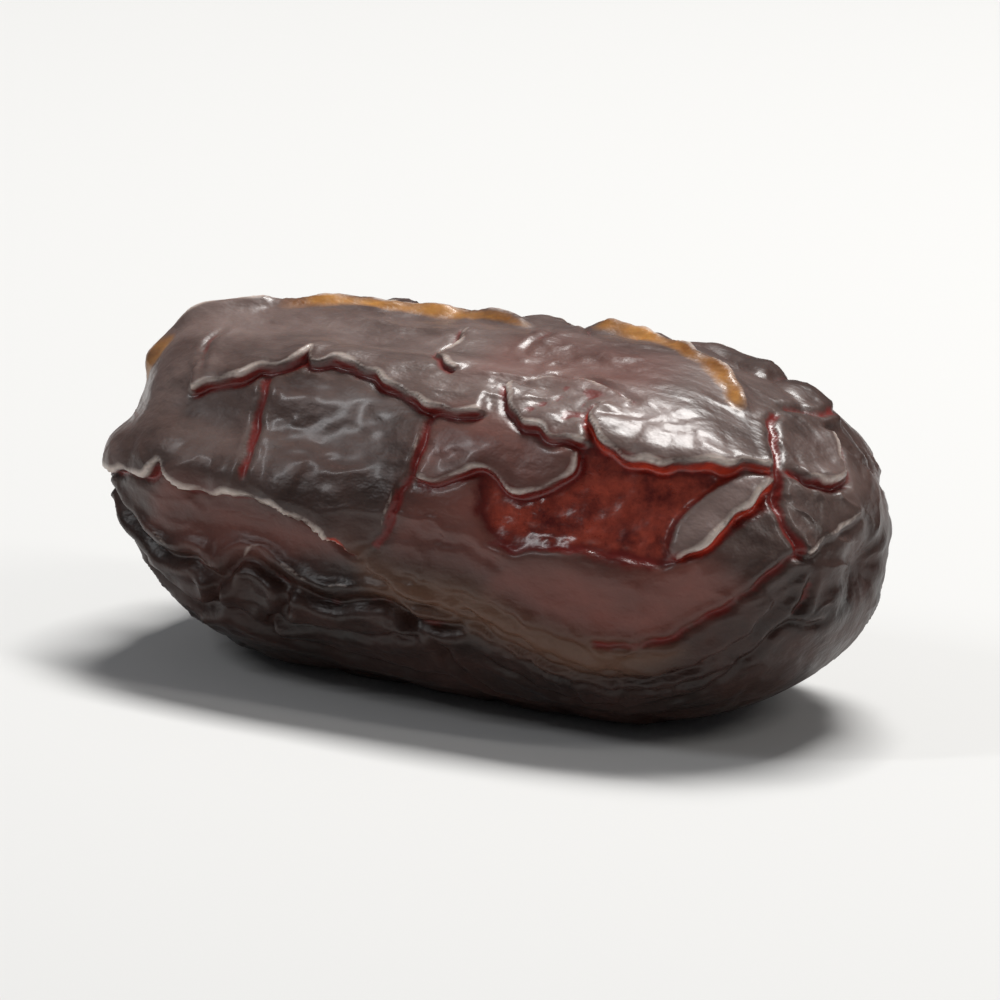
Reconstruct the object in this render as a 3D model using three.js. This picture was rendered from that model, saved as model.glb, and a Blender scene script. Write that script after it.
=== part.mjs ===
// A dried soft date of the large, plump kind, lying on its side: the fruit, and the woody calyx
// cap that stays on its stem end. Millimetres, +Z up. The long axis runs along X, with the stem
// end at -X and the pointed apex at +X, and the fruit rests on a small pressed flat at Z = 0.
import * as THREE from "three";

// Fruit, tip to tip, side to side and from the surface to the crown.
const HALF_LENGTH = 24.8;
const HALF_WIDTH = 12.2;
const CROWN_RISE = 10.7; // from the long axis up to the smooth crown
const BELLY_DROP = 11.3; // from the long axis down, before the belly is pressed flat
const PRESSED = 0.55; // how far the fruit's own weight has flattened the belly
const AXIS_HEIGHT = BELLY_DROP - PRESSED;

// How full the two ends are (a higher number is blunter) and how square the girth is.
const STEM_END = { along: 4.6, around: 2.3 };
const APEX_END = { along: 3.3, around: 2.1 };
const GIRTH_SQUARENESS = 2.25;
const CROWN_TAPER = 0.05; // the crown is this much lower at the stem end and higher at the apex

// The stem end is drawn in round the calyx, from a flat floor out to a rounded rim, and the apex
// ends in a small pucker. Reaches are shares of the girth.
const STEM_DIMPLE = { depth: 3.0, floor: 0.2, rim: 0.55 };
const APEX_PUCKER = { depth: 0.8, floor: 0.02, rim: 0.24 };

// Mesh of the fruit: steps round the girth and along the length.
const STEPS_AROUND = 72;
const STEPS_ALONG = 44;

// Lumps and hollows of the body: place along the length (-1 to 1), angle round the girth in
// degrees (0 faces -Y, 90 is up), size of the swelling in mm, and its spread both ways.
const SWELLINGS = [
  { name: "crown shoulder", at: -0.86, angle: 86, rise: 1.5, spread: [0.15, 24] },
  { name: "stem tip", at: -0.97, angle: 14, rise: 1.1, spread: [0.1, 12] },
  { name: "stem panel", at: -0.98, angle: 42, rise: -1.9, spread: [0.12, 20] },
  { name: "stem undercut", at: -0.9, angle: -50, rise: -1.5, spread: [0.2, 34] },
  { name: "apex slope", at: 0.98, angle: 60, rise: -0.9, spread: [0.16, 60] },
  { name: "apex cheek", at: 0.6, angle: -38, rise: 0.6, spread: [0.3, 36] },
  { name: "left plate", at: -0.62, angle: 33, rise: -0.85, spread: [0.2, 12] },
  { name: "middle plate", at: -0.22, angle: 34, rise: -0.65, spread: [0.2, 15] },
  { name: "low plate", at: -0.45, angle: -3, rise: -1.1, spread: [0.3, 10] },
  { name: "sunken side", at: 0.48, angle: 24, rise: -0.6, spread: [0.24, 14] },
  { name: "back hollow", at: -0.15, angle: 168, rise: -0.7, spread: [0.36, 22] },
  { name: "back cheek", at: 0.4, angle: 138, rise: 0.4, spread: [0.3, 26] },
  { name: "back dent", at: 0.3, angle: 198, rise: -0.5, spread: [0.25, 18] },
];

// The main folds of the skin. Each runs along the length through its points [place, angle].
const FOLDS = [
  { name: "amber crest", rise: 0.7, width: 1.0, path: [[-0.95, 60], [-0.65, 90], [-0.35, 98], [0.05, 96]] },
  { name: "apex crest", rise: 0.7, width: 1.0, path: [[0.15, 104], [0.4, 100], [0.6, 90], [0.75, 77]] },
  { name: "upper lip", rise: 0.6, width: 1.3, path: [[-0.7, 43], [-0.4, 62], [-0.2, 57], [0.15, 48]] },
  { name: "scaled lip", rise: 0.6, width: 1.3, path: [[0.2, 62], [0.3, 46], [0.6, 42], [0.85, 60]] },
  { name: "lower lip", rise: 0.8, width: 1.3, path: [[-0.95, 5], [-0.75, 10], [-0.4, 8], [-0.1, -3]] },
  { name: "apex lip", rise: 0.4, width: 1.2, path: [[-0.1, -3], [0.2, -12], [0.55, -26], [0.9, -10]] },
  { name: "back crest", rise: 0.7, width: 1.3, path: [[-0.8, 114], [-0.3, 121], [0.1, 114], [0.85, 114]] },
  { name: "back ridge", rise: 0.7, width: 1.3, path: [[-0.92, 150], [-0.2, 150], [0.2, 156], [0.9, 152]] },
  { name: "back lip", rise: 0.6, width: 1.3, path: [[-0.85, 180], [-0.4, 174], [0.0, 182], [0.85, 184]] },
  { name: "back belly", rise: 0.6, width: 1.3, path: [[-0.85, 212], [-0.4, 206], [0.0, 214], [0.8, 214]] },
];
const FOLD_FADE = 0.1; // a fold dies away over this share of the half length at each end

// Calyx: the dry, lobed cap seated in the stem dimple, with the broken strand at its centre.
// It is dished like the dimple, so heights along the axis are counted out from the dimple's floor.
const CALYX_RADIUS = 4.3;
const CALYX_OVAL = 0.88; // height of the cap as a share of its width, like the fruit's end
const CALYX_GAP = 0.35; // between the cap and the fruit
const CALYX_DISH = 1.0; // how far the rim stands out past the middle of the cap
const CALYX_THICKNESS = 0.75;
const CALYX_LOBES = 6;
const CALYX_LOBE_DEPTH = 0.08;
const CALYX_STEPS = 36;
const STRAND_RADIUS = 1.25;
const STRAND_LENGTH = 1.2;

const DEGREE = Math.PI / 180;

// A soft bump: 1 at the middle, nearly 0 at twice the spread.
const bump = (offset, spread) => Math.exp(-((offset / spread) ** 2));

// A round hollow: its full depth out to the floor's edge, and none at the rim.
const hollow = ({ depth, floor, rim }, girth) =>
  depth * (1 - THREE.MathUtils.smoothstep(girth, floor, rim));

// The smallest turn from one angle to another, in degrees.
const turn = (from, to) => ((((to - from) % 360) + 540) % 360) - 180;

// A cosine or sine drawn towards the corners, which makes a rounder square of the girth.
const squared = (value) => Math.sign(value) * Math.abs(value) ** (2 / GIRTH_SQUARENESS);

// Height of one fold above the body, at a place along the length and an angle round it.
function foldHeight({ path, rise, width }, place, angle) {
  const start = path[0][0];
  const end = path[path.length - 1][0];
  if (place <= start || place >= end) return 0;
  const next = path.findIndex((point) => point[0] >= place);
  const [[place0, angle0], [place1, angle1]] = [path[next - 1], path[next]];
  const share = THREE.MathUtils.smoothstep(place, place0, place1);
  const across = turn(angle0 + (angle1 - angle0) * share, angle) * DEGREE * HALF_WIDTH;
  const fade = Math.min(1, (place - start) / FOLD_FADE, (end - place) / FOLD_FADE);
  return rise * bump(across, width) * fade;
}

// Swellings and folds together, in mm out from the smooth body.
function relief(place, angle) {
  const swollen = SWELLINGS.reduce(
    (sum, s) => sum + s.rise * bump(place - s.at, s.spread[0]) * bump(turn(s.angle, angle), s.spread[1]),
    0,
  );
  return FOLDS.reduce((sum, fold) => sum + foldHeight(fold, place, angle), swollen);
}

// A point of the fruit's skin. Polar runs from 0 at the stem end to PI at the apex.
function skinPoint(polar, angle) {
  const place = -Math.cos(polar);
  const end = place < 0 ? STEM_END : APEX_END;
  const girth = Math.max(0, 1 - Math.abs(place) ** end.along) ** (1 / end.around);
  const drawnIn = place < 0 ? hollow(STEM_DIMPLE, girth) : -hollow(APEX_PUCKER, girth);
  const side = -squared(Math.cos(angle * DEGREE));
  const up = squared(Math.sin(angle * DEGREE));
  const taper = 1 + CROWN_TAPER * place;
  const height = up > 0 ? CROWN_RISE * taper : BELLY_DROP;
  const out = relief(place, angle) * girth;
  const point = new THREE.Vector3(
    HALF_LENGTH * place + drawnIn,
    (HALF_WIDTH * girth * taper + out) * side,
    AXIS_HEIGHT + (height * girth + out) * up,
  );
  point.z = Math.max(point.z, 0); // pressed flat where it rests
  return point;
}

function fruitGeometry() {
  const geometry = new THREE.SphereGeometry(1, STEPS_AROUND, STEPS_ALONG);
  const position = geometry.getAttribute("position");
  const perRing = STEPS_AROUND + 1;
  for (let i = 0; i < position.count; i++) {
    const ring = Math.floor(i / perRing);
    const step = (i % perRing) % STEPS_AROUND;
    const point = skinPoint((Math.PI * ring) / STEPS_ALONG, (360 * step) / STEPS_AROUND);
    position.setXYZ(i, point.x, point.y, point.z);
  }
  geometry.computeVertexNormals();
  return geometry;
}

// The cap's section: out along its underside, round the rim, and back in over the strand's stub.
function calyxProfile() {
  const rim = CALYX_RADIUS;
  const thick = CALYX_THICKNESS;
  const dish = (radius) => CALYX_GAP + CALYX_DISH * (radius / rim) ** 1.6;
  const strandTop = CALYX_GAP + thick + STRAND_LENGTH;
  return [
    [0, CALYX_GAP],
    [rim * 0.35, dish(rim * 0.35)],
    [rim * 0.7, dish(rim * 0.7)],
    [rim * 0.97, dish(rim * 0.97)],
    [rim, dish(rim) + thick * 0.4],
    [rim * 0.95, dish(rim) + thick * 0.7],
    [rim * 0.7, dish(rim * 0.7) + thick],
    [rim * 0.45, dish(rim * 0.45) + thick],
    [STRAND_RADIUS, CALYX_GAP + thick * 1.3],
    [STRAND_RADIUS * 0.9, strandTop],
    [STRAND_RADIUS * 0.5, strandTop * 0.96],
    [0, strandTop * 0.8],
  ].map(([radius, height]) => new THREE.Vector2(radius, height));
}

function calyxGeometry() {
  const geometry = new THREE.LatheGeometry(calyxProfile(), CALYX_STEPS);
  const position = geometry.getAttribute("position");
  for (let i = 0; i < position.count; i++) {
    const x = position.getX(i);
    const z = position.getZ(i);
    const lobe = Math.cos(CALYX_LOBES * Math.atan2(x, z));
    const scale = 1 + CALYX_LOBE_DEPTH * lobe * (Math.hypot(x, z) / CALYX_RADIUS) ** 2;
    position.setX(i, x * scale);
    position.setZ(i, z * scale * CALYX_OVAL);
  }
  geometry.computeVertexNormals();
  return geometry;
}

const skinMaterial = new THREE.MeshStandardMaterial({ color: 0x4a2a22, roughness: 0.38, metalness: 0 });
const calyxMaterial = new THREE.MeshStandardMaterial({ color: 0xa8692c, roughness: 0.75, metalness: 0 });

const fruit = new THREE.Mesh(fruitGeometry(), skinMaterial);
fruit.name = "fruit";

const calyx = new THREE.Mesh(calyxGeometry(), calyxMaterial);
calyx.name = "calyx";
// The lathe's axis turns from +Y to -X, so that the strand points out of the stem end.
calyx.rotation.z = Math.PI / 2;
calyx.position.set(STEM_DIMPLE.depth - HALF_LENGTH, 0, AXIS_HEIGHT);

const date = new THREE.Group();
date.add(fruit, calyx);

// The origin is the middle of the date's box, on the surface it rests on.
const box = new THREE.Box3().setFromObject(date, true);
const middle = box.getCenter(new THREE.Vector3());
date.position.set(-middle.x, -middle.y, -box.min.z);

export default date;
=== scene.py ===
import math

import bpy
import numpy as np
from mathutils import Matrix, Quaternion, Vector


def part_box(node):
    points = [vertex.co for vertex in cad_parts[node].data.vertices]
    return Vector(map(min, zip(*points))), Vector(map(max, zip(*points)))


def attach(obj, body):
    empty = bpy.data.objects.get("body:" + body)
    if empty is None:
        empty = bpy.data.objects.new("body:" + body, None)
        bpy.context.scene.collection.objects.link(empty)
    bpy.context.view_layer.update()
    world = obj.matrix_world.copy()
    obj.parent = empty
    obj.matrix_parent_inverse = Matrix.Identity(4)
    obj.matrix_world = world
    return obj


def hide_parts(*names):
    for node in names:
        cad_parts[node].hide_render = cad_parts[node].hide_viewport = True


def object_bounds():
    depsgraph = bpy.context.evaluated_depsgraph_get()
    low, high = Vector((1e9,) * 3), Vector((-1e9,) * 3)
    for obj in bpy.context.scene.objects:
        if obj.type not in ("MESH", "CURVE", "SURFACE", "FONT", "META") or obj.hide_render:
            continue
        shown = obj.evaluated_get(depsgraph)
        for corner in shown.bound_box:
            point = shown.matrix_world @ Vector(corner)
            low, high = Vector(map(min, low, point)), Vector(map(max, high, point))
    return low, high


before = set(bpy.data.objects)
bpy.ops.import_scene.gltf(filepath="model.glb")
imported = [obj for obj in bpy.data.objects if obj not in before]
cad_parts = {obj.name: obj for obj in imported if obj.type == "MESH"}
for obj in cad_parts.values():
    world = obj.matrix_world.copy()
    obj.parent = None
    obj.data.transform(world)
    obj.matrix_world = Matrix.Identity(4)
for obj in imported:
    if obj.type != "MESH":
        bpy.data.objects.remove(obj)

cad_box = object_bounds()

# The table: a plain pale sheet that the date lies on, with no edge near it.
TABLE_SIZE = 6.0


def principled(name):
    """A new material, its node tree and its Principled shader."""
    material = bpy.data.materials.new(name)
    material.use_nodes = True
    return material, material.node_tree, material.node_tree.nodes["Principled BSDF"]


bpy.ops.mesh.primitive_plane_add(size=TABLE_SIZE)
table = bpy.context.object
table.name = "table"
table_paint, _, table_shader = principled("pale_table")
table_shader.inputs["Base Color"].default_value = (0.66, 0.66, 0.655, 1)
table_shader.inputs["Roughness"].default_value = 0.7
table.data.materials.append(table_paint)

# The studio: one broad soft box overhead, a weak strip on each side, and an even pale room.
# The camera looks a little down on the date with its apex end turned towards it.
CAMERA_AZIMUTH, CAMERA_ELEVATION, CAMERA_ROLL = 30.0, 15.0, 1.0
CAMERA_LENS, SENSOR = 400.0, 36.0
VIEW_WIDTH = 0.060

middle = (cad_box[0] + cad_box[1]) / 2


def direction(azimuth, elevation):
    """The way from the date towards a camera or lamp at that azimuth and elevation, in degrees."""
    a, e = math.radians(azimuth), math.radians(elevation)
    return Vector((math.sin(a) * math.cos(e), -math.cos(a) * math.cos(e), math.sin(e)))


def soft_box(name, azimuth, elevation, distance, size, power, colour):
    """A rectangular area lamp that faces the date."""
    lamp = bpy.data.lights.new(name, "AREA")
    lamp.shape = "RECTANGLE"
    lamp.size, lamp.size_y = size
    lamp.energy = power
    lamp.color = colour
    holder = bpy.data.objects.new(name, lamp)
    bpy.context.collection.objects.link(holder)
    toward = direction(azimuth, elevation)
    holder.location = middle + toward * distance
    holder.rotation_euler = toward.to_track_quat("Z", "Y").to_euler()


soft_box("overhead_box", 176, 70, 0.62, (0.34, 0.15), 5.0, (1.0, 0.99, 0.97))
soft_box("left_strip", -48, 42, 0.8, (0.05, 0.30), 1.0, (0.96, 0.98, 1.0))
soft_box("right_strip", 92, 42, 0.8, (0.07, 0.30), 0.9, (1.0, 0.97, 0.93))

room = bpy.data.worlds.new("pale_room")
room.use_nodes = True
room.node_tree.nodes["Background"].inputs["Color"].default_value = (0.93, 0.95, 1.0, 1)
room.node_tree.nodes["Background"].inputs["Strength"].default_value = 0.10
bpy.context.scene.world = room
bpy.context.scene.view_settings.view_transform = "Standard"

lens = bpy.data.cameras.new("camera")
lens.lens, lens.sensor_width = CAMERA_LENS, SENSOR
camera = bpy.data.objects.new("camera", lens)
bpy.context.collection.objects.link(camera)
toward_camera = direction(CAMERA_AZIMUTH, CAMERA_ELEVATION)
camera.location = middle + toward_camera * VIEW_WIDTH * CAMERA_LENS / SENSOR
camera.rotation_mode = "QUATERNION"
roll = Quaternion(toward_camera, math.radians(CAMERA_ROLL))
camera.rotation_quaternion = roll @ toward_camera.to_track_quat("Z", "Y")
bpy.context.scene.camera = camera

# The fruit: sticky brown flesh inside one thin waxy skin. As it dried it shrank, and the skin,
# which is too big for it now, settled into plates, overlapping flaps and fine pleats.
# Sizes here are millimetres, and are made metres when the mesh is built.
MM = 0.001
HALF_LENGTH, HALF_WIDTH = 24.8, 12.2
CROWN_RISE, BELLY_DROP, PRESSED = 10.7, 11.3, 0.55
AXIS_HEIGHT = BELLY_DROP - PRESSED
STEM_FULLNESS, APEX_FULLNESS = (4.6, 2.3), (3.3, 2.1)
GIRTH_SQUARENESS = 2.25
CROWN_TAPER = 0.05
STEM_DIMPLE, APEX_PUCKER = (3.0, 0.2, 0.55), (0.8, 0.02, 0.24)
RINGS, STEPS = 300, 332
NEAR_SIDE, CROWDING = 25, 0.4
SOFT_EDGE = 0.12
DEGREE = math.pi / 180
draw = np.random.default_rng(7)

# Lumps and hollows: place along the length (-1 to 1), angle round the girth in degrees (0 faces
# -Y and 90 is up), rise in mm, and the spread each way.
SWELLINGS = [
    (-0.86, 86, 1.5, 0.15, 24),
    (-0.97, 14, 1.1, 0.10, 12),
    (-0.98, 42, -1.9, 0.12, 20),
    (-0.90, -50, -1.5, 0.20, 34),
    (0.98, 60, -0.9, 0.16, 60),
    (0.60, -38, 0.6, 0.30, 36),
    (-0.62, 33, -0.85, 0.20, 12),
    (-0.22, 34, -0.65, 0.20, 15),
    (-0.45, -3, -1.1, 0.30, 10),
    (-0.30, 77, -0.55, 0.36, 9),
    (0.30, 76, -0.35, 0.20, 10),
    (0.48, 24, -0.6, 0.24, 14),
    (0.20, 36, 0.25, 0.18, 7),
    (-0.25, -22, 0.5, 0.34, 9),
    (0.20, 102, 0.35, 0.22, 14),
    (-0.15, 168, -0.7, 0.36, 22),
    (0.40, 138, 0.4, 0.30, 26),
    (0.30, 198, -0.5, 0.25, 18),
]


def smooth(value, low, high):
    share = np.clip((value - low) / (high - low), 0, 1)
    return share * share * (3 - 2 * share)


def bump(offset, spread):
    return np.exp(-((offset / spread) ** 2))


def turn(start, end):
    """The smallest turn from one angle to another, in degrees."""
    return (end - start + 180) % 360 - 180


def squared(value):
    return np.sign(value) * np.abs(value) ** (2 / GIRTH_SQUARENESS)


def girth_at(place):
    along = np.where(place < 0, STEM_FULLNESS[0], APEX_FULLNESS[0])
    around = np.where(place < 0, STEM_FULLNESS[1], APEX_FULLNESS[1])
    return np.maximum(0, 1 - np.abs(place) ** along) ** (1 / around)


def drawn_in(place, girth):
    depth, floor, rim = STEM_DIMPLE
    stem = depth * (1 - smooth(girth, floor, rim))
    depth, floor, rim = APEX_PUCKER
    apex = depth * (1 - smooth(girth, floor, rim))
    return np.where(place < 0, stem, -apex)


def body(place, angle):
    """Points of the fruit's smooth body, lumps and hollows included."""
    girth = girth_at(place)
    lumps = sum(r * bump(place - p, sp) * bump(turn(a, angle), sa) for p, a, r, sp, sa in SWELLINGS)
    side, up = -squared(np.cos(angle * DEGREE)), squared(np.sin(angle * DEGREE))
    taper = 1 + CROWN_TAPER * place
    height = np.where(up > 0, CROWN_RISE * taper, BELLY_DROP)
    out = lumps * girth
    x = HALF_LENGTH * place + drawn_in(place, girth)
    y = (HALF_WIDTH * girth * taper + out) * side
    z = AXIS_HEIGHT + (height * girth + out) * up
    return np.stack([x, y, z], axis=-1)


def body_normal(place, angle):
    """The outward normal of the smooth body."""
    nudge = 1e-3
    near_end = np.clip(place, -1 + 2 * nudge, 1 - 2 * nudge)
    along = body(near_end + nudge, angle) - body(near_end - nudge, angle)
    around = body(near_end, angle + 0.2) - body(near_end, angle - 0.2)
    normal = np.cross(along, around)
    return normal / np.maximum(np.linalg.norm(normal, axis=-1, keepdims=True), 1e-9)


# Rings stand an even distance apart along the skin, and the steps round it are closer together on
# the side with the big plates.
fine = -np.cos(np.linspace(0, math.pi, 4000))
fine_girth = girth_at(fine)
profile = np.stack([HALF_LENGTH * fine + drawn_in(fine, fine_girth), HALF_WIDTH * fine_girth], axis=-1)
run = np.concatenate([[0], np.cumsum(np.linalg.norm(np.diff(profile, axis=0), axis=1))])
ring_place = np.interp(np.linspace(0, run[-1], RINGS + 1)[1:-1], run, fine)
even = np.linspace(-180, 180, 3601)
crowd = np.cumsum(1 + CROWDING * np.cos(even * DEGREE))
turned_share = (crowd - crowd[0]) / (crowd[-1] - crowd[0])
step_angle = NEAR_SIDE + np.interp(np.arange(STEPS) / STEPS, turned_share, even)
place = np.concatenate([[-1], np.repeat(ring_place, STEPS), [1]])
angle = np.concatenate([[0], np.tile(step_angle, RINGS - 1), [0]])
skin = body(place, angle)
out_way = body_normal(place, angle)
out_way[0], out_way[-1] = (-1, 0, 0), (1, 0, 0)
girth = girth_at(place)

relief = np.zeros(len(place))
slide = np.zeros((len(place), 3))
LAYERS = ("crest_and_glint", "groove", "red_glow", "pool", "thin", "amber", "wax_and_sheen", "tan", "pale")
marks = {name: np.zeros(len(place)) for name in LAYERS}


def noise(points, size, seed):
    """Smooth random values from -1 to 1, with lumps about that size."""
    table = np.random.default_rng(seed).uniform(-1, 1, 4096)
    cell = np.floor(points / size).astype(int)
    part = points / size - cell
    part = part * part * (3 - 2 * part)
    total = np.zeros(len(points))
    for corner in np.ndindex(2, 2, 2):
        key = ((cell + corner) * (73856093, 19349663, 83492791)).astype(np.int64)
        value = table[(key[:, 0] ^ key[:, 1] ^ key[:, 2]) % 4096]
        weight = np.prod(np.where(corner, part, 1 - part), axis=1)
        total += value * weight
    return total


def through(points, spacing=0.12):
    """Closely spaced points on the smooth curve through the given (place, angle) points."""
    points = np.array(points, float)
    metric = points * (HALF_LENGTH, HALF_WIDTH * DEGREE)
    gaps = np.linalg.norm(np.diff(metric, axis=0), axis=1)
    knots = np.concatenate([[0], np.cumsum(gaps)])
    slopes = np.gradient(points, knots, axis=0)
    at = np.linspace(0, knots[-1], max(4, int(knots[-1] / spacing)))
    i = np.clip(np.searchsorted(knots, at, side="right") - 1, 0, len(gaps) - 1)
    u = ((at - knots[i]) / gaps[i])[:, None]
    gap = gaps[i][:, None]
    return (
        points[i] * (2 * u**3 - 3 * u**2 + 1)
        + slopes[i] * gap * (u**3 - 2 * u**2 + u)
        + points[i + 1] * (3 * u**2 - 2 * u**3)
        + slopes[i + 1] * gap * (u**3 - u**2)
    )


def near_path(points, reach, ragged, fade):
    """The skin near a fold: which vertices, their distance in mm from the fold (positive on the
    left of its path), how strong the fold is there, and the way to its left."""
    route = through(points)
    ways = body(route[:, 0], route[:, 1])
    normals = body_normal(route[:, 0], route[:, 1])
    forward = np.gradient(ways, axis=0)
    left = np.cross(normals, forward)
    left /= np.linalg.norm(left, axis=1, keepdims=True)
    run = np.concatenate([[0], np.cumsum(np.linalg.norm(np.diff(ways, axis=0), axis=1))])
    phases = draw.uniform(0, 2 * math.pi, 3)
    waver = sum(np.sin(run * 2 * math.pi / size + phase) for size, phase in zip((5.3, 3.1, 1.9), phases))
    ways = ways + left * (ragged * waver / 2)[:, None]
    low, high = ways.min(0) - reach, ways.max(0) + reach
    which = np.nonzero(np.all((skin > low) & (skin < high), axis=1))[0]
    gaps = ((skin[which] ** 2).sum(1)[:, None] + (ways**2).sum(1) - 2 * skin[which] @ ways.T)
    nearest = gaps.argmin(axis=1)
    offset = skin[which] - ways[nearest]
    distance = np.linalg.norm(offset, axis=1)
    keep = distance < reach
    which, nearest, offset, distance = which[keep], nearest[keep], offset[keep], distance[keep]
    side = np.sign((offset * left[nearest]).sum(1))
    strength = smooth(run[nearest], 0, fade) * smooth(run[-1] - run[nearest], 0, fade)
    strength *= 0.85 + 0.15 * np.sin(run[nearest] * 1.7 + phases[0])
    return which, distance * side, strength, left[nearest]


def line(gap, half_width):
    """A line that is 1 along its middle and falls evenly to 0 at its edges."""
    return np.clip(1 - np.abs(gap) / half_width, 0, 1)


def mark(name, which, amount):
    marks[name][which] = np.maximum(marks[name][which], amount)


def lip(points, rise=0.55, decay=1.5, crest_and_glint=0.95, red=0.9, red_glow=0.0, lean=0.32, trough=0.34,
        ragged=0.12, fade=1.2):
    """The free edge of a flap. The flap is on the left of the path and hangs over what is right."""
    which, gap, strength, left = near_path(points, 3.2 * decay, ragged, fade)
    flap = np.where(gap > 0, np.exp(-np.abs(gap / decay) ** 1.5), np.exp(-((gap / 0.26) ** 2)))
    height = rise * flap + 0.03 * bump(gap - 0.12, 0.2) - 0.75 * trough * bump(gap + 0.45, 0.34)
    relief[which] += height * strength
    slide[which] -= left * (lean * bump(gap, 0.3) * strength)[:, None]
    # Pale crest along the flap edge: pale dry skin with a painted highlight glint.
    mark("crest_and_glint", which, crest_and_glint * line(gap - 0.04, 0.45) * strength)
    mark("groove", which, red * line(gap + 0.45, 0.70) * strength)
    # Painted red glow under the flap edge, where light comes through the thin skin.
    mark("red_glow", which, red_glow * line(gap + 0.40, 0.60) * strength)


def groove(points, depth=0.28, width=0.26, swell=0.10, red=0.8, ragged=0.12, fade=1.0):
    """A line where two plates of skin meet and are drawn down to the flesh."""
    which, gap, strength, _ = near_path(points, 7 * width, ragged, fade)
    away = np.abs(gap)
    height = -depth * bump(away, width) + swell * bump(away - 2.4 * width, 1.4 * width)
    relief[which] += height * strength
    mark("groove", which, red * line(gap, 0.62) * strength)


def ridge(points, rise=0.6, width=0.6, crest_and_glint=0.5, amber=0.0, ragged=0.1, fade=2.0):
    """A pinched fold that stands up. Thin ones let light through on their right, and there an amber glow is
    painted.
    """
    which, gap, strength, _ = near_path(points, 3.5, ragged, fade)
    relief[which] += rise * np.exp(-np.abs(gap / width) ** 1.6) * strength
    # Pale crest along the fold: pale dry skin with a painted highlight glint.
    mark("crest_and_glint", which, crest_and_glint * line(gap - 0.05, 0.55) * strength)
    uneven = 0.85 + 0.5 * noise(skin[which], 2.4, 41)
    mark("amber", which, amber * line(gap + 0.4, 0.8 * uneven) * strength)


def region(corners, soft=0.5):
    """1 inside a patch of the skin and 0 outside it, with an edge that soft in mm."""
    scale = np.array([HALF_LENGTH, HALF_WIDTH * DEGREE])
    outline = through(list(corners) + [corners[0]], 0.6) * scale
    here = np.stack([place, turn(0, angle - 90) + 90], axis=-1) * scale
    near = np.nonzero(np.all((here > outline.min(0) - 2) & (here < outline.max(0) + 2), axis=1))[0]
    spots = here[near]
    gap = np.full(len(near), 1e9)
    inside = np.zeros(len(near), bool)
    for start, end in zip(outline, np.roll(outline, -1, axis=0)):
        way = end - start
        share = np.clip(((spots - start) @ way) / max(way @ way, 1e-9), 0, 1)
        gap = np.minimum(gap, np.linalg.norm(spots - start - share[:, None] * way, axis=1))
        crosses = (start[1] > spots[:, 1]) != (end[1] > spots[:, 1])
        rise = np.where(way[1] == 0, 1e-9, way[1])
        inside ^= crosses & (spots[:, 0] < start[0] + (spots[:, 1] - start[1]) * way[0] / rise)
    mask = np.zeros(len(place))
    mask[near] = smooth(np.where(inside, gap, -gap), -soft, soft)
    return mask


# The crown, where the skin is pinched up into thin folds with a painted amber glow.
ridge([(-0.95, 60), (-0.85, 80), (-0.6, 93)], rise=0.7, width=0.6, crest_and_glint=1.0)
ridge([(-0.66, 90), (-0.56, 94), (-0.34, 98), (-0.12, 99), (0.06, 96)],
    rise=0.7, width=0.5, crest_and_glint=0.9, amber=1.0)
ridge([(0.14, 104), (0.28, 104), (0.42, 99), (0.52, 94.5), (0.61, 90.5), (0.67, 86), (0.735, 77)],
    rise=0.7, width=0.5, crest_and_glint=0.9, amber=1.0)
lip([(-0.09, 90), (-0.065, 81), (-0.085, 75), (-0.05, 69), (-0.02, 66), (0.03, 63)],
    rise=0.25, decay=0.9, crest_and_glint=1.0, red=0.8, fade=0.5)
lip([(0.5, 60), (0.45, 63), (0.36, 67), (0.27, 67), (0.2, 62)],
    rise=0.15, decay=0.8, crest_and_glint=0.8, red=0.5, fade=0.6)
groove([(-0.7, 75), (-0.7, 60), (-0.65, 45)], depth=0.16, red=0.5)
groove([(0.08, 97), (0.12, 90), (0.1, 84), (0.14, 78)], depth=0.14, red=0.5)
groove([(0.75, 90), (0.8, 105), (0.8, 120)], depth=0.25, red=0.7)

# The side, where big flat plates meet, and flaps from the crown hang over a pool of bare flesh.
lip([(-0.70, 43), (-0.65, 45), (-0.58, 48), (-0.5, 52), (-0.43, 56), (-0.395, 63), (-0.36, 58.5),
     (-0.3, 59.5), (-0.2, 57.5), (-0.1, 52), (0.0, 48), (0.1, 46), (0.165, 48.5)],
    rise=0.6, red=1.0, fade=0.8)
lip([(0.195, 62), (0.19, 55), (0.23, 50), (0.28, 47), (0.34, 44), (0.4, 42.5), (0.455, 43.5)],
    rise=0.6, decay=1.2, red=1.0, ragged=0.25, fade=0.6)
lip([(0.44, 60), (0.445, 52), (0.48, 45), (0.53, 42), (0.59, 41.5), (0.66, 44.5), (0.72, 47),
     (0.79, 55), (0.845, 61)],
    rise=0.65, decay=1.6, red=1.0, red_glow=0.8, ragged=0.18, fade=0.6)
groove([(-0.47, 52), (-0.462, 42), (-0.455, 30), (-0.45, 20), (-0.43, 10)], depth=0.2, red=1.0)
lip([(-0.085, -2), (-0.045, 8), (-0.02, 17), (0.0, 26), (0.0, 36), (-0.005, 46)],
    rise=0.22, decay=1.0, crest_and_glint=0.7, red=1.0, lean=0.15, trough=0.24, fade=0.8)
lip([(0.015, 22), (0.07, 22.5), (0.12, 24.5), (0.17, 29), (0.21, 29.5), (0.26, 25), (0.31, 24),
     (0.37, 27), (0.42, 34), (0.425, 41)],
    rise=0.38, decay=1.3, crest_and_glint=0.85, red=1.0, fade=0.6)
lip([(0.7, 8), (0.75, 14), (0.82, 35), (0.85, 58)],
    rise=0.5, decay=1.5, crest_and_glint=1.1, red=1.0, red_glow=1.0, fade=0.7)
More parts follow.
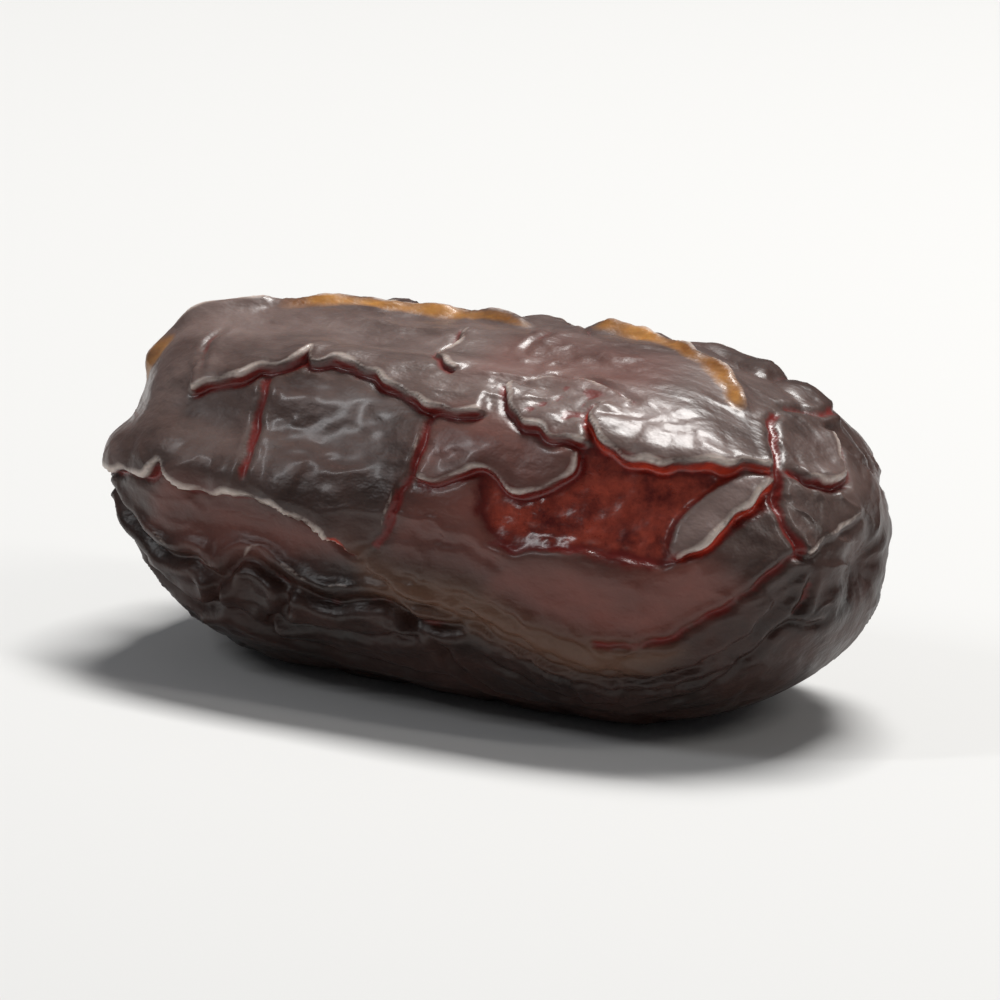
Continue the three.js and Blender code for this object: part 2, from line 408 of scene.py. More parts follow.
lip([(0.8, 12), (0.7, 5), (0.5, 6), (0.3, 3), (0.2, 4)],
    rise=0.2, decay=1.3, crest_and_glint=0.0, red=0.8, lean=0.1, trough=0.1, fade=1.5)
lip([(0.24, 5), (0.2, 12), (0.19, 18), (0.2, 24)],
    rise=0.12, decay=1.0, crest_and_glint=0.0, red=0.4, lean=0.1, trough=0.1)
groove([(0.04, 3), (0.12, 4), (0.2, 3), (0.3, 0)], depth=0.12, red=0.4)

# Round to the apex the plates are small, with upturned edges.
groove([(0.75, 90), (0.85, 60), (0.9, 35), (0.95, 12)], depth=0.34, red=1.1)
groove([(0.85, 60), (0.9, 68), (0.95, 95)], depth=0.3, red=1.1)
lip([(0.88, 68), (0.92, 78), (0.92, 92), (0.84, 102)], rise=0.4, decay=1.0, red=0.7, lean=0.15, fade=0.6)
lip([(0.94, 15), (0.96, 35), (0.98, 95)],
    rise=0.25, decay=1.1, crest_and_glint=0.85, red=0.3, lean=0.12, trough=0.2, fade=0.6)
groove([(0.95, 22), (0.9, 6), (0.8, -9), (0.68, -17), (0.5, -18)], depth=0.26, width=0.22, swell=0.14, red=0.7)
groove([(0.97, -45), (0.92, -25), (0.83, -36), (0.74, -44)], depth=0.3, width=0.24, red=0.2)
groove([(0.96, 8), (0.95, -8), (0.92, -25)], depth=0.28, width=0.24, swell=0.16, red=0.5)

# The lip below the plates, and the pleats that run from it round to the apex.
lip([(-0.98, 3), (-0.88, 8), (-0.75, 9), (-0.7, 14), (-0.65, 9), (-0.45, 9), (-0.25, 5), (-0.1, -3)],
    rise=0.8, decay=1.7, trough=0.35, crest_and_glint=1.05, red=0.8, fade=0.7)
lip([(-0.3, 6), (-0.2, 3), (-0.1, -1)], rise=0.1, decay=0.5, crest_and_glint=0.0, red=0.0, red_glow=1.3, fade=0.9)
lip([(-0.1, -3), (0.0, -9), (0.1, -11), (0.2, -12), (0.3, -16), (0.42, -22), (0.55, -26), (0.7, -27),
     (0.8, -23), (0.87, -14), (0.91, -2)],
    rise=0.3, decay=1.0, crest_and_glint=0.5, red=0.3, lean=0.2, trough=0.18)
lip([(-0.02, -4), (0.1, -6), (0.2, -7), (0.32, -11), (0.45, -16), (0.58, -19), (0.7, -18)],
    rise=0.15, decay=0.7, crest_and_glint=0.4, red=0.3, lean=0.1, trough=0.14)
groove([(0.0, -12), (0.12, -14.5), (0.25, -19), (0.38, -26), (0.5, -30.5), (0.66, -32), (0.78, -29)],
    depth=0.22, width=0.18, swell=0.14, red=0.2)
groove([(0.22, -22), (0.3, -25), (0.42, -33), (0.55, -37), (0.7, -38), (0.82, -34)],
    depth=0.2, width=0.18, swell=0.14, red=0.1)
groove([(0.2, -27), (0.32, -37), (0.44, -44), (0.6, -47), (0.78, -43)],
    depth=0.2, width=0.22, swell=0.14, red=0.1)
groove([(0.42, -30), (0.44, -38), (0.43, -48)], depth=0.2, width=0.2, red=0.1)
groove([(0.3, -20), (0.36, -28), (0.37, -38)], depth=0.16, width=0.16, red=0.1)
groove([(0.55, -28), (0.57, -36), (0.54, -46)], depth=0.16, width=0.16, red=0.1)

# Low on the side the skin has puckered into rounded blisters.
groove([(-0.95, -2), (-0.8, -14), (-0.7, -18), (-0.6, -15), (-0.52, -18), (-0.45, -11), (-0.35, -14),
        (-0.2, -18), (-0.05, -15), (0.1, -20), (0.2, -18)],
    depth=0.6, width=0.36, swell=0.34, red=0.4, ragged=0.05)
ridge([(-0.82, -6), (-0.7, -12), (-0.5, -14), (-0.4, -7), (-0.28, -13), (-0.1, -12)],
    rise=0.16, width=0.25, crest_and_glint=0.68, fade=1.2)
groove([(-0.53, -18), (-0.55, -28), (-0.65, -40)], depth=0.55, width=0.34, swell=0.25, red=0.3)
groove([(-0.33, -15), (-0.33, -22), (-0.42, -35)], depth=0.55, width=0.34, swell=0.25, red=0.3)
groove([(0.0, -16), (0.05, -22), (-0.1, -29), (-0.4, -30)], depth=0.5, width=0.34, swell=0.22, red=0.3)
groove([(-0.9, -22), (-0.7, -35), (-0.5, -31), (-0.3, -42), (0.1, -44)],
    depth=0.4, width=0.4, swell=0.2, red=0.2)
groove([(0.06, -20), (0.1, -26), (0.12, -36), (0.2, -46), (0.34, -52)],
    depth=0.3, width=0.3, swell=0.15, red=0.2)
groove([(-0.9, -8), (-0.92, 0), (-0.9, 5)], depth=0.14, width=0.2, red=0.3)

# The far side, out of the crown and down to the belly.
lip([(0.85, 112), (0.5, 118), (0.1, 112), (-0.3, 119), (-0.8, 112)],
    rise=0.6, crest_and_glint=0.72, red=0.6, ragged=0.16)
lip([(0.9, 150), (0.6, 146), (0.2, 154), (-0.2, 148), (-0.6, 155), (-0.92, 148)],
    rise=0.6, crest_and_glint=0.72, red=0.6, ragged=0.16)
lip([(-0.85, 182), (-0.4, 176), (0.0, 184), (0.4, 178), (0.85, 186)],
    rise=0.5, crest_and_glint=0.66, red=0.5, ragged=0.14)
lip([(0.8, 212), (0.4, 205), (0.0, 212), (-0.4, 204), (-0.85, 210)],
    rise=0.5, crest_and_glint=0.62, red=0.3, ragged=0.14)
lip([(0.2, 92), (0.12, 101), (-0.05, 108), (-0.3, 109), (-0.55, 106)], rise=0.3, crest_and_glint=0.8, red=0.5)
groove([(-0.5, 117), (-0.46, 135), (-0.5, 152)])
groove([(0.05, 113), (0.0, 130), (0.06, 151)])
groove([(0.5, 118), (0.55, 133), (0.5, 147)])
groove([(-0.2, 150), (-0.25, 165), (-0.2, 180)])
groove([(0.35, 152), (0.3, 165), (0.36, 178)])
groove([(-0.6, 179), (-0.55, 192), (-0.6, 207)])
groove([(0.1, 183), (0.15, 196), (0.1, 209)])

# Away from the big plates the skin is crazed into small ones, longer than they are wide.
CRAZE_ROWS, CRAZE_PER_ROW = 9, 18
CRAZE_STRETCH = 1.9
craze_rows, craze_turns = np.linspace(-0.93, 0.93, CRAZE_ROWS), np.arange(CRAZE_PER_ROW) * 20.0
craze_place, craze_angle = np.meshgrid(craze_rows, craze_turns)
craze_angle = craze_angle + draw.uniform(-9, 9, craze_angle.shape) + 10 * (np.arange(CRAZE_ROWS) % 2)
craze_place = np.clip(craze_place + draw.uniform(-0.09, 0.09, craze_place.shape), -0.985, 0.985)
centres = body(craze_place.ravel(), craze_angle.ravel()) / (CRAZE_STRETCH, 1, 1)
warp = np.stack([noise(skin, 4.0, seed) for seed in (11, 12, 13)], axis=-1) * 1.0
warp += np.stack([noise(skin, 1.5, seed) for seed in (14, 15, 16)], axis=-1) * 0.3
spots = (skin + warp) / (CRAZE_STRETCH, 1, 1)
reach = (spots**2).sum(1)[:, None] + (centres**2).sum(1) - 2 * spots @ centres.T
first, second = np.argpartition(reach, 1, axis=1)[:, :2].T
rows = np.arange(len(spots))
between = np.linalg.norm(centres[first] - centres[second], axis=1)
edge = (reach[rows, second] - reach[rows, first]) / (2 * np.maximum(between, 0.3))
edge = np.abs(edge)
front = smooth(turn(-52, angle), -14, 6) * (1 - smooth(turn(88, angle), 0, 22)) * (angle > -90)
front = np.where(np.abs(turn(20, angle)) < 100, front, 0)
bare_front = front * (1 - smooth(np.abs(place), 0.975, 0.998))
crazed = (1 - bare_front) * smooth(girth, 0.25, 0.6)
crazed *= 1 - 0.45 * smooth(np.abs(place), 0.7, 0.95)
relief += crazed * (0.26 * (1 - np.exp(-edge / 1.1)) - 0.22 * bump(edge, 0.32) - 0.1)
craze_red = 0.55 * (0.6 + 0.4 * noise(skin, 4.0, 35))
marks["groove"] = np.maximum(marks["groove"], crazed * craze_red * line(edge, 0.6))

# Both ends are gathered into pleats that meet at the stem and at the apex.
swirl = angle + 30 * noise(skin, 4.0, 21)
stem_pleats = np.sin(swirl * DEGREE * 13) * bump(girth - 0.45, 0.16) * (place < 0)
apex_pleats = np.sin(swirl * DEGREE * 9) * bump(girth - 0.22, 0.14) * (place > 0)
relief += 0.2 * stem_pleats + 0.06 * apex_pleats

# The pool of bare flesh lies lower than the skin round it, and beside it the skin is thin and red.
pool = region([(0.2, 15), (0.2, 28), (0.3, 23), (0.4, 27), (0.45, 41), (0.6, 41), (0.75, 46), (0.85, 52),
               (0.8, 20), (0.7, 7), (0.45, 7), (0.25, 8)], 1.1)
flap = region([(0.7, 8), (0.7, 20), (0.75, 36), (0.85, 58), (0.82, 32), (0.75, 11)], 0.4)
relief -= 0.5 * pool * (1 - flap)
relief += 0.10 * pool * (1 - flap) * noise(skin, 0.7, 34)
marks["pool"] = pool * (1 - 0.95 * flap)
THIN_PATCHES = [
    (0.9, 1.6, [(0.0, 2), (0.02, 20), (0.12, 23), (0.2, 28), (0.32, 22), (0.36, 8), (0.3, 0), (0.14, 1)]),
    (0.6, 1.0, [(0.02, 22), (0.02, 44), (0.3, 44), (0.43, 40), (0.4, 28), (0.3, 24), (0.18, 30)]),
    (0.9, 1.4, [(0.3, 2), (0.6, 5), (0.78, 10), (0.84, 0), (0.7, -14), (0.45, -13), (0.25, -4)]),
    (0.6, 1.0, [(-0.75, -9), (-0.72, 6), (-0.4, 6), (-0.12, -3), (-0.3, -7), (-0.55, -12)]),
    (0.4, 1.6, [(0.05, 60), (0.05, 88), (0.3, 90), (0.5, 86), (0.5, 66), (0.2, 66)]),
]
for share, soft, corners in THIN_PATCHES:
    marks["thin"] = np.maximum(marks["thin"], share * region(corners, soft))
# A small patch of painted amber glow near the stem end.
small_amber = region([(-0.93, 58), (-0.915, 72), (-0.86, 74), (-0.87, 63)], 0.5)
marks["amber"] = np.maximum(marks["amber"], 0.6 * small_amber)
# The pale layer: the thin flap by the pool is pale skin, and there, at the left corner of the lower lip and on
# the upper plates, a sheen is painted.
PALE_SHEEN_PATCHES = [
    (1.0, 0.6, [(0.7, 10), (0.72, 22), (0.76, 36), (0.85, 56), (0.82, 34), (0.75, 14)]),
    (0.9, 1.0, [(-0.98, 6), (-0.96, 18), (-0.9, 16), (-0.84, 10), (-0.9, 7)]),
    (0.7, 1.0, [(0.3, 46), (0.26, 58), (0.4, 64), (0.48, 56), (0.6, 46), (0.74, 51), (0.6, 66),
                (0.44, 72)]),
]
for share, soft, corners in PALE_SHEEN_PATCHES:
    marks["pale"] = np.maximum(marks["pale"], share * region(corners, soft))

# Fine ripples of the thin skin.
relief += 0.22 * noise(skin / (2.0, 1, 1), 3.0, 30) + 0.07 * noise(skin / (1.7, 1, 1), 1.5, 31)
relief += 0.04 * noise(skin / (1.8, 1, 1), 0.6, 32)
wrinkle = 1 - np.abs(noise(skin / (3.2, 1, 1), 1.7, 36) + 0.3 * noise(skin, 1.1, 37))
wrinkled = smooth(noise(skin, 6.0, 38), -0.35, 0.3) * (1 - pool)
relief += 0.16 * wrinkled * np.clip(wrinkle, 0, 1) ** 6
crinkled = region([(0.22, 50), (0.24, 64), (0.42, 63), (0.44, 47), (0.34, 46)], 0.6)
relief += crinkled * 0.12 * noise(skin, 0.6, 33)
marks["groove"] = np.maximum(marks["groove"], 0.55 * crinkled * smooth(noise(skin, 0.6, 33), 0.1, -0.4))

# Dusty wax with a painted sheen greys the upper side of the skin, less so on the crown and beyond it and at
# the apex end, and the pleats low on the apex side are tan.
marks["wax_and_sheen"] = smooth(turn(20, angle), -40, 30) * (1 - smooth(turn(20, angle), 125, 155))
marks["wax_and_sheen"] *= 1 - 0.45 * smooth(turn(20, angle), 68, 95)
marks["wax_and_sheen"] *= 1 - 0.6 * smooth(place, 0.90, 0.98)
marks["tan"] = region([(-0.14, -1), (0.0, -5), (0.2, -6), (0.4, -14), (0.6, -18), (0.72, -21), (0.5, -30),
                       (0.3, -22), (0.1, -16), (-0.08, -10)], 1.2)

# Press the belly flat, and set the skin in the frame's place for it.
belly = 1 - 0.95 * bump(turn(-90, angle), 22)
under_calyx = np.where(place < 0, smooth(girth, 0.32, 0.5), smooth(girth, 0, 0.15))
skin = skin + out_way * (relief * belly * under_calyx)[:, None] + slide * belly[:, None]
low = skin[:, 2]
eased = (np.maximum(low, -SOFT_EDGE) + SOFT_EDGE) ** 2 / (4 * SOFT_EDGE)
skin[:, 2] = np.where(low > SOFT_EDGE, low, eased)
fruit_low, fruit_high = (np.array(corner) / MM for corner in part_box("fruit"))
settled = (fruit_low + fruit_high) / 2 - (skin.min(0) + skin.max(0)) / 2
settled[2] = fruit_low[2] - skin[:, 2].min()
skin += settled


def ring_faces(rings, steps):
    """Faces of a closed skin: rings of quads, with a fan at each pole."""
    first, last = 0, (rings - 1) * steps + 1
    faces = [(first, 1 + i, 1 + (i + 1) % steps) for i in range(steps)]
    for ring in range(rings - 2):
        start = 1 + ring * steps
        for i in range(steps):
            j = (i + 1) % steps
            faces.append((start + i, start + steps + i, start + steps + j, start + j))
    start = last - steps
    faces += [(last, start + (i + 1) % steps, start + i) for i in range(steps)]
    return faces


fruit_mesh = bpy.data.meshes.new("fruit_skin")
fruit_mesh.from_pydata((skin * MM).tolist(), [], ring_faces(RINGS, STEPS))
for name, values in marks.items():
    layer = fruit_mesh.attributes.new(name, "FLOAT", "POINT")
    layer.data.foreach_set("value", np.clip(values, 0, 1).astype(np.float32))
fruit_mesh.shade_smooth()
fruit = bpy.data.objects.new("fruit_skin", fruit_mesh)
bpy.context.collection.objects.link(fruit)


def link(tree, source, target):
    tree.links.new(source, target)


def mask(tree, name):
    """A painted layer of the skin."""
    node = tree.nodes.new("ShaderNodeAttribute")
    node.attribute_name = name
    return node.outputs["Fac"]


def blend(tree, below, above, share):
    """One colour over another by a share; each may be a socket or a colour."""
    node = tree.nodes.new("ShaderNodeMix")
    node.data_type = "RGBA"
    for socket, value in ((node.inputs[0], share), (node.inputs[6], below), (node.inputs[7], above)):
        if isinstance(value, bpy.types.NodeSocket):
            link(tree, value, socket)
        elif isinstance(value, tuple):
            socket.default_value = (*value, 1)
        else:
            socket.default_value = value
    return node.outputs[2]


def sums(tree, kind, first, second):
    """One step of arithmetic; each side may be a socket or a number."""
    node = tree.nodes.new("ShaderNodeMath")
    node.operation = kind
    for socket, value in zip(node.inputs, (first, second)):
        if isinstance(value, bpy.types.NodeSocket):
            link(tree, value, socket)
        else:
            socket.default_value = value
    return node.outputs[0]


def spread(tree, value, low, high, start=0.0, end=1.0):
    """Stretches low to high over start to end, and holds it there."""
    node = tree.nodes.new("ShaderNodeMapRange")
    link(tree, value, node.inputs["Value"])
    for name, number in (("From Min", low), ("From Max", high), ("To Min", start), ("To Max", end)):
        node.inputs[name].default_value = number
    return node.outputs[0]


soft_noise = bpy.data.node_groups.new("soft_noise", "ShaderNodeTree")
NOISE_INPUTS = [
    ("Scale", "Float", 300.0),
    ("Stretch", "Vector", (1, 1, 1)),
    ("Detail", "Float", 3.0),
    ("Roughness", "Float", 0.55),
]
for name, kind, start in NOISE_INPUTS:
    socket = soft_noise.interface.new_socket(name, in_out="INPUT", socket_type="NodeSocket" + kind)
    socket.default_value = start
soft_noise.interface.new_socket("Value", in_out="OUTPUT", socket_type="NodeSocketFloat")
given, result = soft_noise.nodes.new("NodeGroupInput"), soft_noise.nodes.new("NodeGroupOutput")
spot, turned = soft_noise.nodes.new("ShaderNodeTexCoord"), soft_noise.nodes.new("ShaderNodeMapping")
drift = soft_noise.nodes.new("ShaderNodeTexNoise")
link(soft_noise, spot.outputs["Object"], turned.inputs["Vector"])
link(soft_noise, given.outputs["Stretch"], turned.inputs["Scale"])
link(soft_noise, turned.outputs["Vector"], drift.inputs["Vector"])
for name in ("Scale", "Detail", "Roughness"):
    link(soft_noise, given.outputs[name], drift.inputs[name])
link(soft_noise, drift.outputs["Fac"], result.inputs["Value"])


def cloud(tree, per_metre, stretch=(1, 1, 1), detail=3.0, roughness=0.55):
    """Soft noise on the object's own coordinates, from the shared node group."""
    node = tree.nodes.new("ShaderNodeGroup")
    node.node_tree = soft_noise
    settings = {"Scale": per_metre, "Stretch": stretch, "Detail": detail, "Roughness": roughness}
    for name, value in settings.items():
        node.inputs[name].default_value = value
    return node.outputs["Value"]


def date_skin():
    """Thin waxy skin over dark flesh: brown where it is close, grey with wax and a painted sheen on the upper
    plates, oxblood where the flesh is bare, with pale crests that carry painted highlight glints, a painted
    amber glow where a fold stands free and a painted red glow under the flap edges."""
    material, tree, shader = principled("date_skin")
    mottle = cloud(tree, 320, (0.6, 1, 1), 5, 0.6)
    patch = cloud(tree, 170, (0.5, 1, 1), 6, 0.65)
    grain = cloud(tree, 1600, (0.6, 1, 1), 4, 0.65)
    fray = spread(tree, grain, 0.25, 0.75, -0.14, 0.14)
    brown = blend(tree, (0.012, 0.005, 0.003), (0.052, 0.020, 0.014), spread(tree, mottle, 0.3, 0.7))
    # Wax and painted sheen: grey over the brown on the upper side of the skin.
    wax_and_sheen_share = sums(tree, "MULTIPLY", mask(tree, "wax_and_sheen"), spread(tree, patch, 0.35, 0.65, 0.15, 1.05))
    waxed_and_sheened = blend(tree, brown, (0.165, 0.113, 0.100), wax_and_sheen_share)
    thinned = sums(tree, "MULTIPLY", mask(tree, "thin"), spread(tree, mottle, 0.3, 0.7, 0.5, 1.0))
    reddish = blend(tree, waxed_and_sheened, (0.205, 0.062, 0.046), thinned)
    tanned = blend(tree, reddish, (0.150, 0.072, 0.042), sums(tree, "MULTIPLY", mask(tree, "tan"), 0.75))
    # Pale layer: pale flap skin and painted sheen.
    paled_with_sheen = blend(tree, tanned, (0.240, 0.170, 0.155), sums(tree, "MULTIPLY", mask(tree, "pale"), 0.6))
    clots = spread(tree, cloud(tree, 560, (1, 1, 1), 6, 0.7), 0.36, 0.72)
    depth = sums(tree, "MULTIPLY", clots, spread(tree, mask(tree, "pool"), 0.55, 1.0, 0.15, 1.0))
    flesh = blend(tree, (0.085, 0.006, 0.004), (0.42, 0.065, 0.035), depth)
    wet = spread(tree, sums(tree, "ADD", mask(tree, "pool"), fray), 0.22, 0.50)
    bare = blend(tree, paled_with_sheen, flesh, wet)
    deep = spread(tree, sums(tree, "ADD", mask(tree, "groove"), fray), 0.30, 0.65)
    lined = blend(tree, bare, (0.150, 0.011, 0.008), deep)
    # Painted red glow under the flap edges.
    glowing = spread(tree, sums(tree, "ADD", mask(tree, "red_glow"), fray), 0.35, 0.75)
    with_red_glow = blend(tree, lined, (0.50, 0.045, 0.020), glowing)
    # Painted amber glow where light shines through the thin folds.
    honey_glow = blend(tree, (0.17, 0.060, 0.014), (0.48, 0.215, 0.048), spread(tree, mottle, 0.35, 0.65))
    frayed_amber = sums(tree, "ADD", mask(tree, "amber"), sums(tree, "MULTIPLY", fray, 0.7))
    lit_fold = spread(tree, frayed_amber, 0.12, 0.75)
    lit = blend(tree, with_red_glow, honey_glow, lit_fold)
    # Crests: pale dry skin edges with painted highlight glints.
    faint = sums(tree, "MULTIPLY", fray, 0.6)
    edge = spread(tree, sums(tree, "ADD", mask(tree, "crest_and_glint"), faint), 0.50, 0.85, 0.0, 0.95)
    crested_with_glint = blend(tree, lit, (0.56, 0.47, 0.42), edge)
    link(tree, crested_with_glint, shader.inputs["Base Color"])
    waxy = spread(tree, mottle, 0.3, 0.7, 0.32, 0.50)
    link(tree, sums(tree, "SUBTRACT", waxy, sums(tree, "MULTIPLY", wet, 0.1)), shader.inputs["Roughness"])
    glossy = sums(tree, "MULTIPLY", sums(tree, "MAXIMUM", mask(tree, "wax_and_sheen"), wet), 0.28)
    link(tree, glossy, shader.inputs["Coat Weight"])
    shader.inputs["Specular IOR Level"].default_value = 0.36
    shader.inputs["Coat Roughness"].default_value = 0.16
    shader.inputs["Subsurface Weight"].default_value = 0.06
    shader.inputs["Subsurface Radius"].default_value = (1.0, 0.3, 0.15)
    shader.inputs["Subsurface Scale"].default_value = 0.0005
    dimples = cloud(tree, 420, (0.7, 1, 1), 4, 0.55)
    bumps = tree.nodes.new("ShaderNodeBump")
    bumps.inputs["Distance"].default_value = 0.0007
    bumps.inputs["Strength"].default_value = 0.4
    link(tree, dimples, bumps.inputs["Height"])
    link(tree, bumps.outputs["Normal"], shader.inputs["Normal"])
    return material


fruit_mesh.materials.append(date_skin())
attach(fruit, "root")
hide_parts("fruit")

# The calyx: the dry, woody cap of six grown-together sepals that stays on the stem end, with the
# broken stub of the strand that the date hung from. It sits in the drawn-in end of the fruit.
CAP_RADIUS, CAP_OVAL, CAP_LOBES = 4.15, 0.88, 6
CAP_GAP, CAP_DISH, CAP_THICKNESS = 0.35, 1.0, 0.75
STUB_RADIUS, STUB_HEIGHT = 1.2, 1.05
CAP_RINGS, CAP_STEPS = 130, 320

cap_turn = np.tile(np.arange(CAP_STEPS) * 2 * math.pi / CAP_STEPS, CAP_RINGS - 1)
cap_out = np.repeat(np.linspace(0, 2, CAP_RINGS + 1)[1:-1], CAP_STEPS)
cap_turn, cap_out = (np.concatenate([[0], values, [0]]) for values in (cap_turn, cap_out))
cap_out[-1] = 2
underside = cap_out > 1
share = np.where(underside, 2 - cap_out, cap_out)
tips = np.abs(np.cos(cap_turn * CAP_LOBES / 2)) ** 0.55
uneven = noise(np.stack([np.cos(cap_turn), np.sin(cap_turn), 0 * cap_turn], axis=-1) * 2, 0.8, 51)
rim = CAP_RADIUS * (0.90 + 0.09 * tips + 0.06 * uneven)
radius = share * rim
height = CAP_GAP + CAP_DISH * (radius / CAP_RADIUS) ** 1.6
across, upward = np.cos(cap_turn), np.sin(cap_turn)
fibre = noise(np.stack([across * 14, upward * 14, radius * 0.5], axis=-1), 1.0, 52)
fibre += 0.6 * noise(np.stack([across * 30, upward * 30, radius * 0.8], axis=-1), 1.0, 53)
notch = bump(np.abs(np.cos(cap_turn * CAP_LOBES / 2)), 0.16) * smooth(share, 0.35, 0.8)
thick = CAP_THICKNESS * (1 - 0.72 * smooth(share, 0.2, 1.0)) * np.sqrt(np.clip(1 - share**12, 0, 1))
curl = (0.22 * tips + 0.16 * uneven) * smooth(share, 0.6, 1.0)
stub = STUB_HEIGHT * (1 - smooth(radius, STUB_RADIUS * 0.72, STUB_RADIUS * 1.12))
frayed = 0.16 * noise(np.stack([radius * across, radius * upward, 0 * radius], axis=-1), 0.28, 54)
collar = 0.22 * bump(radius - 1.75, 0.28) + 0.10 * bump(radius - 2.35, 0.2)
ribs = (0.06 * fibre - 0.14 * notch) * smooth(radius, 0.3, 1.6)
top = thick + stub + frayed * (stub / STUB_HEIGHT) + collar + ribs
height = height + curl + np.where(underside, 0, top)
cap_low, cap_high = (np.array(corner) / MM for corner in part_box("calyx"))
seat = np.array([cap_high[0] + CAP_GAP, (cap_low[1] + cap_high[1]) / 2, (cap_low[2] + cap_high[2]) / 2])
cap_skin = np.stack([-height, radius * upward, radius * across * CAP_OVAL], axis=-1) + seat

cap_mesh = bpy.data.meshes.new("calyx_cap")
cap_mesh.from_pydata((cap_skin * MM).tolist(), [], ring_faces(CAP_RINGS, CAP_STEPS))
browned = smooth(share, 0.72, 1.0) + 0.35 * uneven + 0.3 * smooth(notch, 0.2, 0.9)
browned += 0.7 * bump(radius - STUB_RADIUS, 0.22)
for name, values in (("fibre", 0.5 + 0.5 * fibre), ("browned", browned), ("stub", stub / STUB_HEIGHT)):
    layer = cap_mesh.attributes.new(name, "FLOAT", "POINT")
    layer.data.foreach_set("value", np.clip(values, 0, 1).astype(np.float32))
cap_mesh.shade_smooth()
cap = bpy.data.objects.new("calyx_cap", cap_mesh)
bpy.context.collection.objects.link(cap)


def dry_calyx():
    """Straw-coloured wood, streaked along its fibres and browned at the edges of the lobes."""
    material, tree, shader = principled("dry_calyx")
    blotch = cloud(tree, 700, (1, 1, 1), 4, 0.6)
    streak = spread(tree, mask(tree, "fibre"), 0.2, 0.8)
    straw = blend(tree, (0.15, 0.066, 0.024), (0.42, 0.235, 0.100), streak)
    worn = blend(tree, straw, (0.30, 0.15, 0.06), spread(tree, blotch, 0.45, 0.7))
    blotchy = sums(tree, "ADD", mask(tree, "browned"), spread(tree, blotch, 0.3, 0.7, -0.2, 0.2))
    edges = spread(tree, blotchy, 0.2, 0.9)
    link(tree, blend(tree, worn, (0.055, 0.024, 0.012), edges), shader.inputs["Base Color"])
    shader.inputs["Roughness"].default_value = 0.68
    shader.inputs["Specular IOR Level"].default_value = 0.3
    grain = cloud(tree, 2600, (0.3, 1, 1), 4, 0.6)
    bumps = tree.nodes.new("ShaderNodeBump")
    bumps.inputs["Distance"].default_value = 0.0002
    bumps.inputs["Strength"].default_value = 0.5
    link(tree, grain, bumps.inputs["Height"])
    link(tree, bumps.outputs["Normal"], shader.inputs["Normal"])
    return material


calyx_wood = dry_calyx()
cap_mesh.materials.append(calyx_wood)
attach(cap, "root")
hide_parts("calyx")

# The torn fibres of the strand: thin wisps that stand out of the broken stub in all directions.
WISPS, WISP_REACH, WISP_LENGTH, WISP_RADIUS = 46, 0.9, 0.7, 0.05


